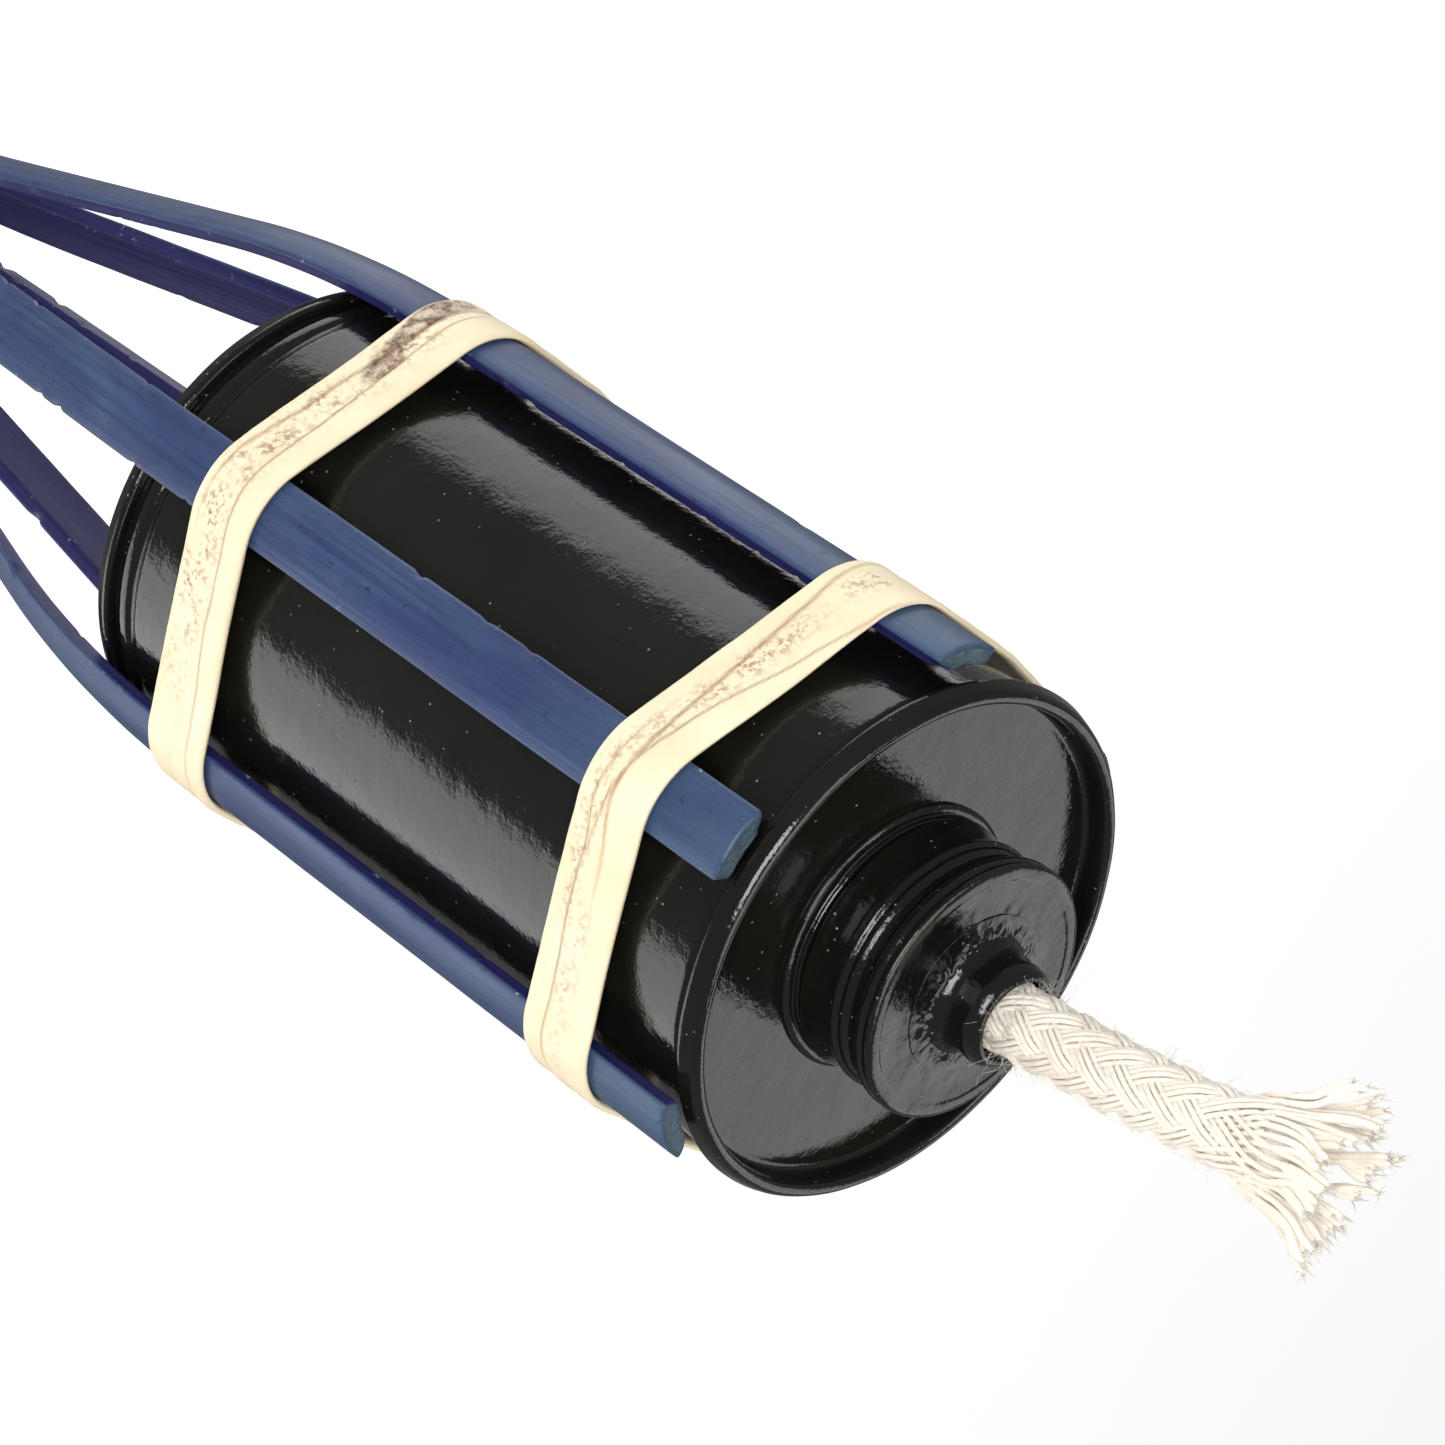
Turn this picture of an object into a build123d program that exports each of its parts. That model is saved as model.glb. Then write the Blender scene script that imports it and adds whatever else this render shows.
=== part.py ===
from build123d import *
import math
import os

# Bamboo garden torch. The pole's upper end is split into six slats that are sprung open round
# a tinplate oil canister and held by two rubber bands. A rope wick stands in the screw cap.
# Upright, +Z up, origin at the centre of the pole's foot, millimetres.

# Pole
POLE_RADIUS = 10.3
CULM_BORE = 6.9             # radius of the hollow inside the culm
RING_HEIGHTS = (214.0, 412.0, 604.0)
RING_TUBE = 2.2             # radius of the torus that swells at each node of the culm
RING_PROUD = 0.9
DIAPHRAGM = 6.0             # solid culm above the top node and below the bottom one

# Slats, bent outwards from the pole and back to upright beside the canister
SLAT_COUNT = 6
SLAT_HALF_ANGLE = 28.7      # half of each slat's share of the round, less half the saw cut
SLAT_FLAT = 7.15            # distance of the inner face's edges from the pole's axis
SLAT_HOLLOW = 7.4           # the same at the middle of the slightly hollow inner face
SLAT_SHIFT = 28.9           # how far each slat is sprung outwards
SLAT_LEAN = 14.0            # steepest lean of a slat, degrees
ROOT_BEND = 350.0
SEAT_BEND = 180.0
BEND_END = 20.0             # the slats are upright again this far above the canister's foot
TIP_HEIGHT = 900.2          # the slats end just under the canister's top seam
TIP_TRIM = (0.0, 1.0, -4.6, -1.6, -4.8, -1.5)  # uneven saw cuts at the tips, by slat
SPLAY = (0.0, 0.0, 11.0, 0.0, -11.0, 0.0)      # turn from where a slat faces to where it is sprung
EXTRA_SHIFT = (0.0, 0.0, 1.1, 0.0, 1.1, 0.0)   # the splayed slats are sprung further out

# Canister
CAN_FOOT = 783.0
CAN_HEIGHT = 119.6
CAN_TOP = CAN_FOOT + CAN_HEIGHT
TOP_RECESS = 3.8
PANEL = CAN_TOP - TOP_RECESS    # the top panel, from which the cap's heights are measured
TOP_RIM = 35.0
FOOT_RIM = 34.8
BODY_RADIUS = 33.8
NECKED_RADIUS = 33.4        # the body is necked in beside each seam
SHEET = 0.4
SEAM_HEIGHT = 3.1
SEAM_ROUND = 0.7
FOOT_RECESS = 3.8

# Filler neck and its collar, heights above the top panel
NECK_BORE = 13.2
NECK_RADIUS = 14.0
NECK_LIP = 14.7
NECK_TOP = 12.7
NECK_FLANGE = 16.0
THREAD_PITCH = 3.0
THREAD_DEPTH = 0.7
THREAD_FOOT = 4.4
COLLAR_RADIUS = 17.9
COLLAR_BORE = 14.2
COLLAR_TOP = 1.5

# Cap, seal and wick holder, heights above the top panel
CAP_TOP = 14.45
CAP_RADIUS = 17.25
CAP_BORE = 15.35
CAP_SHEET = 0.5
SKIRT_FOOT = 2.2
SKIRT_RADIUS = 17.0
HOLDER_HOLE = 6.2
LIP_ROUND = 0.7
BEAD_ROUND = 1.5
SEAL_RADIUS = 15.0
SEAL_BORE = 12.4
SEAL_THICK = 1.0
GAP = 0.1                   # running gap between pieces that turn or lift past each other
HOLDER_BORE = 5.2
HOLDER_SLEEVE = 6.0
HOLDER_FOOT = 8.2
HOLDER_BASE = 7.0
HOLDER_TOP = 21.5
DOME_HEIGHT = 2.6
FLANGE_RADIUS = 10.6
FLANGE_THICK = 0.45

# Wick
WICK_RADIUS = 4.75
FRAY_RADIUS = 11.5
FRAY_LENGTH = 19.0

# Rubber bands
BAND_WIDTH = 12.0
BAND_THICK = 1.3
BAND_GAP = 0.1
LOWER_BAND = 23.0           # middle of the band above the canister's foot
UPPER_BAND = 100.0
WIDE_RUN = 24.95            # distance of the wide gaps' band centre line, clear of the foot's seam

BASE = (Align.CENTER, Align.CENTER, Align.MIN)
TURN = 360.0 / SLAT_COUNT


def save(piece, label):
    piece.part.label = label
    export_step(piece.part, f"parts/{label}.step")


def rise_of_slat():
    """Length of the straight stretch between the two bends, and the height of the slats' root."""
    lean = math.radians(SLAT_LEAN)
    bends = ROOT_BEND + SEAT_BEND
    straight = (SLAT_SHIFT - bends * (1 - math.cos(lean))) / math.sin(lean)
    climb = bends * math.sin(lean) + straight * math.cos(lean)
    return straight, CAN_FOOT + BEND_END - climb


STRAIGHT, SPLIT = rise_of_slat()


def point_at(radius, angle):
    return radius * math.cos(math.radians(angle)), radius * math.sin(math.radians(angle))


def build_pole():
    """The culm below the saw cuts, with its swollen nodes and its hollow at both ends."""
    with BuildPart() as pole:
        Cylinder(POLE_RADIUS, SPLIT, align=BASE)
        for height in RING_HEIGHTS:
            with Locations((0, 0, height)):
                Torus(POLE_RADIUS + RING_PROUD - RING_TUBE, RING_TUBE)
        Cylinder(CULM_BORE, RING_HEIGHTS[0] - DIAPHRAGM, align=BASE, mode=Mode.SUBTRACT)
        with Locations((0, 0, RING_HEIGHTS[-1] + DIAPHRAGM)):
            Cylinder(CULM_BORE, SPLIT, align=BASE, mode=Mode.SUBTRACT)
    save(pole, "bamboo_pole")


def facing(number):
    """Angle at which a slat's outer face looks; slat 1 is at the front."""
    return number * TURN - 90.0


def stand_of(number):
    """How far out and in which direction a slat is sprung."""
    return SLAT_SHIFT + EXTRA_SHIFT[number], facing(number) + SPLAY[number]


def build_slat(number):
    """One sixth of the culm's wall, swept outwards and up beside the canister."""
    out = Vector(*point_at(1, facing(number)))
    shift, direction = stand_of(number)
    away = Vector(*point_at(1, direction))
    run = STRAIGHT + EXTRA_SHIFT[number] / math.sin(math.radians(SLAT_LEAN))
    middle = (POLE_RADIUS + SLAT_HOLLOW) / 2
    side = Plane(origin=out * middle, x_dir=away, z_dir=away.cross(Vector(0, 0, 1)))
    root = Plane(origin=(0, 0, SPLIT), x_dir=out, z_dir=(0, 0, 1))
    tip_height = TIP_HEIGHT + TIP_TRIM[number]
    corner = SLAT_FLAT * math.tan(math.radians(SLAT_HALF_ANGLE))
    with BuildPart() as slat:
        with BuildLine(side):
            root_bend = JernArc((0, SPLIT), (0, 1), ROOT_BEND, -SLAT_LEAN)
            straight = PolarLine(root_bend @ 1, run, 90.0 - SLAT_LEAN)
            seat_bend = JernArc(straight @ 1, straight % 1, SEAT_BEND, SLAT_LEAN)
            Line(seat_bend @ 1, (shift, tip_height))
        with BuildSketch(root):
            with BuildLine():
                lower = point_at(POLE_RADIUS, -SLAT_HALF_ANGLE)
                upper = point_at(POLE_RADIUS, SLAT_HALF_ANGLE)
                ThreePointArc(lower, (POLE_RADIUS, 0), upper)
                Line(upper, (SLAT_FLAT, corner))
                ThreePointArc((SLAT_FLAT, corner), (SLAT_HOLLOW, 0), (SLAT_FLAT, -corner))
                Line((SLAT_FLAT, -corner), lower)
            make_face()
        sweep()
    save(slat, f"slat_{number + 1}")


def band_corners():
    """The slats' places round the canister, with a point between them where a gap is wide."""
    corners = []
    for number in range(SLAT_COUNT):
        shift, angle = stand_of(number)
        gap = (stand_of((number + 1) % SLAT_COUNT)[1] - angle) % 360.0
        corners.append(point_at(shift, angle))
        if gap > TURN + 1:
            corners.append(point_at(WIDE_RUN, angle + gap / 2))
    return corners


def build_band(label, height):
    """A flat rubber loop stretched round the six slats."""
    with BuildPart() as band:
        with BuildSketch(Plane.XY.offset(CAN_FOOT + height - BAND_WIDTH / 2)):
            with BuildLine():
                Polyline(*band_corners(), close=True)
            make_face()
            offset(amount=POLE_RADIUS + BAND_GAP + BAND_THICK)
            offset(amount=-BAND_THICK, mode=Mode.SUBTRACT)
        extrude(amount=BAND_WIDTH)
    save(band, label)


def build_can_body():
    """The canister's tube, necked in under each seam, with a rolled ridge at its foot."""
    foot_steps = ((0.9, NECKED_RADIUS), (4.2, NECKED_RADIUS), (5.0, BODY_RADIUS),
                  (5.8, BODY_RADIUS), (6.6, NECKED_RADIUS), (7.2, NECKED_RADIUS), (8.0, BODY_RADIUS))
    top_steps = ((4.4, BODY_RADIUS), (3.6, NECKED_RADIUS), (0.9, NECKED_RADIUS))
    outside = [(radius, CAN_FOOT + rise) for rise, radius in foot_steps]
    outside += [(radius, CAN_TOP - drop) for drop, radius in top_steps]
    inside = [(radius - SHEET, height) for radius, height in reversed(outside)]
    with BuildPart() as body:
        with BuildSketch(Plane.XZ):
            with BuildLine():
                Polyline(*outside, *inside, close=True)
            make_face()
        revolve(axis=Axis.Z)
    save(body, "canister_body")


def build_can_end(label, rim_height, inward, rim_radius, recess, hole=0.0):
    """A pressed end: a recessed panel, its chuck wall and the double seam over the body's edge."""
    body_gap = 0.05
    wall_in = NECKED_RADIUS - SHEET - body_gap
    outline = [
        (wall_in - SHEET, SEAM_ROUND),
        (wall_in, 0),
        (rim_radius - SEAM_ROUND, 0),
        (rim_radius, SEAM_ROUND),
        (rim_radius, SEAM_HEIGHT - SEAM_ROUND),
        (rim_radius - SEAM_ROUND, SEAM_HEIGHT),
        (NECKED_RADIUS + body_gap, SEAM_HEIGHT),
        (NECKED_RADIUS + body_gap, SHEET),
        (wall_in, SHEET),
        (wall_in, recess + SHEET),
        (hole, recess + SHEET),
        (hole, recess),
        (wall_in - SHEET, recess),
    ]
    with BuildPart() as end:
        with BuildSketch(Plane.XZ):
            with BuildLine():
                Polyline(*[(r, rim_height + inward * depth) for r, depth in outline], close=True)
            make_face()
        revolve(axis=Axis.Z)
    save(end, label)


def build_neck():
    """The threaded filler neck, crimped under the panel and lipped at its mouth."""
    under = PANEL - SHEET - GAP
    lip_foot = PANEL + NECK_TOP - SHEET
    top = PANEL + NECK_TOP
    with BuildPart() as neck:
        with BuildSketch(Plane.XZ):
            with BuildLine():
                Polyline(
                    (NECK_BORE, under - SHEET),
                    (NECK_FLANGE, under - SHEET),
                    (NECK_FLANGE, under),
                    (NECK_RADIUS, under),
                    (NECK_RADIUS, lip_foot),
                    (NECK_LIP, lip_foot),
                    (NECK_LIP, top),
                    (NECK_BORE, top),
                    close=True,
                )
            make_face()
        revolve(axis=Axis.Z)
        with BuildLine(Plane.XY.offset(PANEL + THREAD_FOOT)) as thread:
            Helix(THREAD_PITCH, 2 * THREAD_PITCH, NECK_RADIUS)
        with BuildSketch(Plane(origin=thread.line @ 0, z_dir=thread.line % 0)):
            Circle(THREAD_DEPTH)
        sweep(is_frenet=True)
    save(neck, "filler_neck")


def build_collar():
    """The raised ring pressed round the neck, with a double edge."""
    foot = PANEL
    top = PANEL + COLLAR_TOP
    edge = 1.2
    with BuildPart() as collar:
        with BuildSketch(Plane.XZ):
            with BuildLine():
                Polyline(
                    (COLLAR_BORE, foot),
                    (COLLAR_RADIUS, foot),
                    (COLLAR_RADIUS, foot + edge / 2),
                    (COLLAR_RADIUS - edge, foot + edge / 2),
                    (COLLAR_RADIUS - edge, top),
                    (COLLAR_BORE, top),
                    close=True,
                )
            make_face()
        revolve(axis=Axis.Z)
    save(collar, "neck_collar")


def build_seal():
    """The flat seal between the neck's lip and the cap."""
    with BuildPart() as seal:
        with BuildSketch(Plane.XY.offset(PANEL + NECK_TOP + GAP)):
            Circle(SEAL_RADIUS)
            Circle(SEAL_BORE, mode=Mode.SUBTRACT)
        extrude(amount=SEAL_THICK)
    save(seal, "cap_seal")


def build_cap():
    """The pressed screw cap: flared skirt, two thin ridges, a wide bead and a rounded lip."""
    skirt = [
        (CAP_BORE + CAP_SHEET, 10.0),
        (16.5, 8.9),
        (16.2, 8.4),
        (16.9, 7.7),
        (16.3, 6.6),
        (16.3, 5.0),
        (SKIRT_RADIUS, SKIRT_FOOT),
        (SKIRT_RADIUS - CAP_SHEET, SKIRT_FOOT),
        (CAP_BORE, 5.0),
        (CAP_BORE, CAP_TOP - CAP_SHEET),
        (HOLDER_HOLE, CAP_TOP - CAP_SHEET),
        (HOLDER_HOLE, CAP_TOP),
        (CAP_RADIUS - LIP_ROUND, CAP_TOP),
    ]
    lip_foot = (CAP_RADIUS - 0.35, PANEL + CAP_TOP - 1.0)
    bead_foot = (16.6, PANEL + 11.3)
    with BuildPart() as cap:
        with BuildSketch(Plane.XZ):
            with BuildLine():
                side = Polyline(*[(radius, PANEL + rise) for radius, rise in skirt])
                RadiusArc(side @ 1, lip_foot, LIP_ROUND)
                RadiusArc(lip_foot, bead_foot, BEAD_ROUND)
                Line(bead_foot, side @ 0)
            make_face()
        revolve(axis=Axis.Z)
    save(cap, "cap_shell")


def build_holder():
    """The wick holder: a sleeve through the cap, a crimped flange on it and a domed nozzle."""
    shoulder = PANEL + HOLDER_TOP - DOME_HEIGHT
    flange = PANEL + CAP_TOP + FLANGE_THICK
    with BuildPart() as holder:
        with BuildSketch(Plane.XZ):
            with BuildLine():
                Polyline(
                    (HOLDER_BORE, PANEL + HOLDER_TOP),
                    (HOLDER_BORE, PANEL + HOLDER_FOOT),
                    (HOLDER_SLEEVE, PANEL + HOLDER_FOOT),
                    (HOLDER_SLEEVE, PANEL + CAP_TOP),
                    (FLANGE_RADIUS, PANEL + CAP_TOP),
                    (FLANGE_RADIUS, flange),
                    (HOLDER_BASE, flange),
                    (HOLDER_BASE, shoulder),
                )
                ThreePointArc(
                    (HOLDER_BASE, shoulder),
                    (HOLDER_SLEEVE + 0.5, PANEL + HOLDER_TOP - 0.8),
                    (HOLDER_BORE, PANEL + HOLDER_TOP),
                )
            make_face()
        revolve(axis=Axis.Z)
    save(holder, "wick_holder")


# The wick's route: it hangs into the oil, stands straight through the holder and leans outside
WICK_ROUTE = (
    (2.5, 1.5, 795.0),
    (2.2, -0.8, 822.0),
    (0.0, 0.0, 864.0),
    (0.0, 0.0, 927.0),
    (-3.6, 0.3, 961.5),
)
WICK_BEND_SHARE = 0.45      # of the shorter run, taken by each bend


def wick_radii():
    """As large a bend at each corner of the route as its two runs allow."""
    points = [Vector(*p) for p in WICK_ROUTE]
    radii = []
    for before, here, after in zip(points, points[1:], points[2:]):
        turn = math.radians((here - before).get_angle(after - here))
        run = min((here - before).length, (after - here).length)
        radii.append(WICK_BEND_SHARE * run / math.tan(turn / 2))
    print("wick bend radii, mm:", [round(r) for r in radii])
    return radii


def build_wick():
    """The rope wick, and its frayed end as a flared solid."""
    with BuildPart() as wick:
        with BuildLine():
            route = FilletPolyline(*WICK_ROUTE, radius=wick_radii())
        with BuildSketch(Plane(origin=route @ 0, z_dir=route % 0)):
            Circle(WICK_RADIUS)
        sweep()
    ideal = math.pi * WICK_RADIUS**2 * route.length
    print(f"wick length {route.length:.1f} mm, volume {wick.part.volume:.0f} of {ideal:.0f} mm3")
    save(wick, "wick")
    end = Plane(origin=route @ 1, z_dir=route % 1)
    with BuildPart() as fray:
        with BuildSketch(end):
            Circle(WICK_RADIUS)
        with BuildSketch(end.offset(FRAY_LENGTH)):
            Circle(FRAY_RADIUS)
        loft()
    save(fray, "wick_fray")


os.makedirs("parts", exist_ok=True)
build_pole()
for index in range(SLAT_COUNT):
    build_slat(index)
build_band("lower_band", LOWER_BAND)
build_band("upper_band", UPPER_BAND)
build_can_body()
build_can_end("canister_bottom", CAN_FOOT, 1, FOOT_RIM, FOOT_RECESS)
build_can_end("canister_top", CAN_TOP, -1, TOP_RIM, TOP_RECESS, NECK_RADIUS + GAP)
build_neck()
build_collar()
build_seal()
build_cap()
build_holder()
build_wick()
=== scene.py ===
import math

import bmesh
import bpy
import numpy as np
from mathutils import Matrix, Vector, noise


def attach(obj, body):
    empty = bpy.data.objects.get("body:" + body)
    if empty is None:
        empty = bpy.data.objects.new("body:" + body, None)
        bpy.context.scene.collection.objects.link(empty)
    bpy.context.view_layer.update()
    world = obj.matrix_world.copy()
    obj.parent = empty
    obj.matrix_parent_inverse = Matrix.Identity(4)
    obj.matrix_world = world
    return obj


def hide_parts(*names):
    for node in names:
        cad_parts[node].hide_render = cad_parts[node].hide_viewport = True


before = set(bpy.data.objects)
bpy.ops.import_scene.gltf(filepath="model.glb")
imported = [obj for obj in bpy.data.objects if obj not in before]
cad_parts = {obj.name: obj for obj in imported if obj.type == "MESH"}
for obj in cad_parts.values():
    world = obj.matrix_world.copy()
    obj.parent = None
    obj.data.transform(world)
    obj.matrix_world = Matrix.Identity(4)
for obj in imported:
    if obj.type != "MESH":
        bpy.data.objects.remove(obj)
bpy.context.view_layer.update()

# Looks of the bamboo garden torch. Shapes are worked out in millimetres and made in metres.
rng = np.random.default_rng(11)
noise.seed_set(11)      # noise_vector's offsets come from the clock unless they are seeded
MM = 0.001

# Sizes repeated from the CAD source, mm
FOOT = 783.0
TOP = 902.6
PANEL = 898.8
POLE = 10.3
BORE = 6.9
RINGS = (214.0, 412.0, 604.0)
SHIFT = 28.9
LEAN = math.radians(14.0)
ROOT_BEND = 350.0
SEAT_BEND = 180.0
STRAIGHT = (SHIFT - (ROOT_BEND + SEAT_BEND) * (1 - math.cos(LEAN))) / math.sin(LEAN)
SPLIT = FOOT + 20.0 - (ROOT_BEND + SEAT_BEND) * math.sin(LEAN) - STRAIGHT * math.cos(LEAN)
HALF = math.radians(28.7)        # half of each slat's share of the round, less half the saw cut
SLAT_COUNT = 6
SLAT_FLAT = 7.15                 # distance of a slat's inner edges from the pole's axis
SLAT_HOLLOW = 7.4                # the same at the middle of its inner face
TIPS = (900.2, 901.2, 895.6, 898.6, 895.4, 898.7)
SPLAY = (0.0, 0.0, 11.0, 0.0, -11.0, 0.0)
EXTRA = (0.0, 0.0, 1.1, 0.0, 1.1, 0.0)
WIDE_RUN = 24.95                 # distance of the bands' centre line from the axis in the wide gaps
BAND_GAP = 0.1
BAND_HALF_WIDTH = 6.0
LOWER_BAND = FOOT + 23.0
UPPER_BAND = FOOT + 100.0


# ---------------------------------------------------------------- camera

CAMERA_TURN = (1.64, 37.0, 124.5)       # azimuth, angle above the torch and roll, degrees
CAMERA_PLACE = (-0.02376, -0.49748, 1.23497)
CAMERA_LENS = 124.57


def set_camera():
    azimuth, height, roll = (math.radians(a) for a in CAMERA_TURN)
    flat = Vector((math.cos(azimuth), -math.sin(azimuth), 0))
    ahead = Vector((math.sin(azimuth), math.cos(azimuth), 0))
    forward = ahead * math.cos(height) - Vector((0, 0, 1)) * math.sin(height)
    lift = ahead * math.sin(height) + Vector((0, 0, 1)) * math.cos(height)
    right = flat * math.cos(roll) + lift * math.sin(roll)
    up = lift * math.cos(roll) - flat * math.sin(roll)
    camera = bpy.data.cameras.new("camera")
    camera.lens = CAMERA_LENS
    camera.sensor_width = 36.0
    camera.clip_start = 0.01
    camera.clip_end = 100.0
    holder = bpy.data.objects.new("camera", camera)
    turn = Matrix((right, up, -forward)).transposed().to_4x4()
    holder.matrix_world = Matrix.Translation(Vector(CAMERA_PLACE)) @ turn
    bpy.context.scene.collection.objects.link(holder)
    bpy.context.scene.camera = holder


set_camera()


# ---------------------------------------------------------------- materials

class Paint:
    """Short calls for making one node material."""

    def __init__(self, name, **fixed):
        self.material = bpy.data.materials.new(name)
        self.material.use_nodes = True
        self.tree = self.material.node_tree
        self.shader = self.tree.nodes["Principled BSDF"]
        for socket, value in fixed.items():
            self.shader.inputs[socket.replace("_", " ")].default_value = value

    def node(self, kind, sockets, **settings):
        made = self.tree.nodes.new(kind)
        for key, value in settings.items():
            setattr(made, key, value)
        for key, value in sockets.items():
            if isinstance(value, bpy.types.NodeSocket):
                self.tree.links.new(value, made.inputs[key])
            else:
                made.inputs[key].default_value = value
        return made

    def place(self, stretch=(1, 1, 1)):
        where = self.node("ShaderNodeTexCoord", {}).outputs["Object"]
        return self.node("ShaderNodeMapping", {"Vector": where, "Scale": stretch}).outputs[0]

    def mark(self, name, stretch=None):
        found = self.node("ShaderNodeAttribute", {}, attribute_name=name)
        if stretch is None:
            return found.outputs["Fac"]
        sockets = {"Vector": found.outputs["Vector"], "Scale": stretch}
        return self.node("ShaderNodeMapping", sockets).outputs[0]

    def noise(self, where, scale, detail=2.0, rough=0.5, warp=0.0):
        sockets = {"Vector": where, "Scale": scale, "Detail": detail, "Roughness": rough, "Distortion": warp}
        return self.node("ShaderNodeTexNoise", sockets).outputs["Fac"]

    def cells(self, where, scale):
        return self.node("ShaderNodeTexVoronoi", {"Vector": where, "Scale": scale}).outputs["Distance"]

    def ramp(self, value, *stops):
        made = self.node("ShaderNodeValToRGB", {"Fac": value})
        keys = made.color_ramp.elements
        while len(keys) < len(stops):
            keys.new(0.5)
        for key, (at, colour) in zip(keys, stops):
            key.position = at
            key.color = (*colour, 1) if hasattr(colour, "__len__") else (colour, colour, colour, 1)
        return made.outputs["Color"]

    def sums(self, how, a, b):
        return self.node("ShaderNodeMath", {0: a, 1: b}, operation=how, use_clamp=how != "ADD").outputs[0]

    def mix(self, share, a, b):
        made = self.node("ShaderNodeMix", {}, data_type="RGBA")
        for index, value in ((0, share), (6, a), (7, b)):
            if isinstance(value, bpy.types.NodeSocket):
                self.tree.links.new(value, made.inputs[index])
            else:
                made.inputs[index].default_value = value if index == 0 else (*value, 1)
        return made.outputs[2]

    def bump(self, height, strength, distance, under=None):
        sockets = {"Height": height, "Strength": strength, "Distance": distance}
        if under is not None:
            sockets["Normal"] = under
        return self.node("ShaderNodeBump", sockets).outputs[0]

    def finish(self, colour, roughness, normal):
        self.tree.links.new(colour, self.shader.inputs["Base Color"])
        self.tree.links.new(roughness, self.shader.inputs["Roughness"])
        self.tree.links.new(normal, self.shader.inputs["Normal"])
        return self.material


def enamel(name, peel, dust):
    """Gloss black enamel with orange peel, dust under it and a few dull scuffs."""
    p = Paint(name, IOR=1.5)
    where = p.place()
    specks = p.ramp(p.cells(where, 640.0), (0.07, 1.0), (0.12, 0.0))
    chosen = p.ramp(p.noise(where, 230.0, 4.0), (0.53 - dust, 0.0), (0.58 - dust, 1.0))
    dirt = p.sums("MULTIPLY", specks, chosen)
    cloud = p.noise(where, 45.0, 4.0)
    shade = p.ramp(cloud, (0.35, (0.0045, 0.0046, 0.0036)), (0.7, (0.0085, 0.0085, 0.0068)))
    colour = p.mix(dirt, shade, (0.20, 0.20, 0.18))
    scuffs = p.ramp(p.noise(where, 70.0, 6.0, 0.65), (0.45, 0.045), (0.80, 0.16))
    gloss = p.sums("MAXIMUM", scuffs, p.sums("MULTIPLY", dirt, 0.55))
    waves = p.bump(p.noise(where, 260.0, 2.0), peel * 0.55, 0.0006)
    skin = p.bump(p.noise(where, 1500.0, 3.0, 0.6), peel, 0.00012, waves)
    return p.finish(colour, gloss, p.bump(dirt, 0.6, 0.0002, skin))


def bamboo(name):
    """Blue dyed bamboo: fibres along the culm, dye gone uneven, pale chips on the edges, and a painted
    highlight that lightens the outer faces in streaks towards the tips.
    """
    p = Paint(name, IOR=1.45)
    fibre = p.noise(p.mark("grain", (1, 1, 0.02)), 1500.0, 4.0, 0.6)
    band = p.noise(p.mark("grain", (1, 1, 0.12)), 220.0, 3.0)
    blotch = p.noise(p.mark("grain", (1, 1, 0.35)), 75.0, 4.0, 0.6, 0.6)
    dye = p.ramp(blotch, (0.30, (0.020, 0.035, 0.125)), (0.50, (0.032, 0.060, 0.158)),
                 (0.72, (0.054, 0.100, 0.190)))
    streaked = p.mix(p.ramp(fibre, (0.35, 0.55), (0.6, 0.0)), dye, (0.016, 0.024, 0.085))
    # Painted highlight: the outer faces are lightened in streaks towards the tips, standing in for the satin
    # sheen there.
    tip_highlight_mask = p.sums("MULTIPLY", p.mark("tip"), p.ramp(band, (0.3, 0.35), (0.7, 1.0)))
    tip_highlighted = p.mix(tip_highlight_mask, streaked, (0.048, 0.098, 0.165))
    indigo = p.mix(p.ramp(fibre, (0.3, 0.0), (0.7, 1.0)), (0.012, 0.012, 0.075), (0.030, 0.030, 0.150))
    sides = p.mix(p.mark("inner"), tip_highlighted, indigo)
    holes = p.cells(p.mark("grain", (1, 1, 0)), 1900.0)
    pores = p.ramp(holes, (0.15, (0.010, 0.022, 0.032)), (0.5, (0.028, 0.058, 0.082)))
    cut = p.mix(p.mark("cut"), sides, pores)
    specks = p.ramp(p.noise(p.place(), 900.0, 2.0), (0.68, 0.0), (0.74, 1.0))
    speckled = p.mix(p.sums("MULTIPLY", specks, 0.7), cut, (0.012, 0.016, 0.045))
    chips = p.ramp(p.noise(p.place(), 520.0, 5.0, 0.7), (0.64, 0.0), (0.69, 1.0))
    colour = p.mix(p.sums("MULTIPLY", chips, p.mark("edge")), speckled, (0.36, 0.41, 0.44))
    gloss = p.ramp(band, (0.3, 0.34), (0.7, 0.52))
    fine = p.bump(fibre, 0.35, 0.00018)
    return p.finish(colour, gloss, p.bump(p.sums("ADD", blotch, chips), 0.25, 0.0003, fine))


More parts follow.
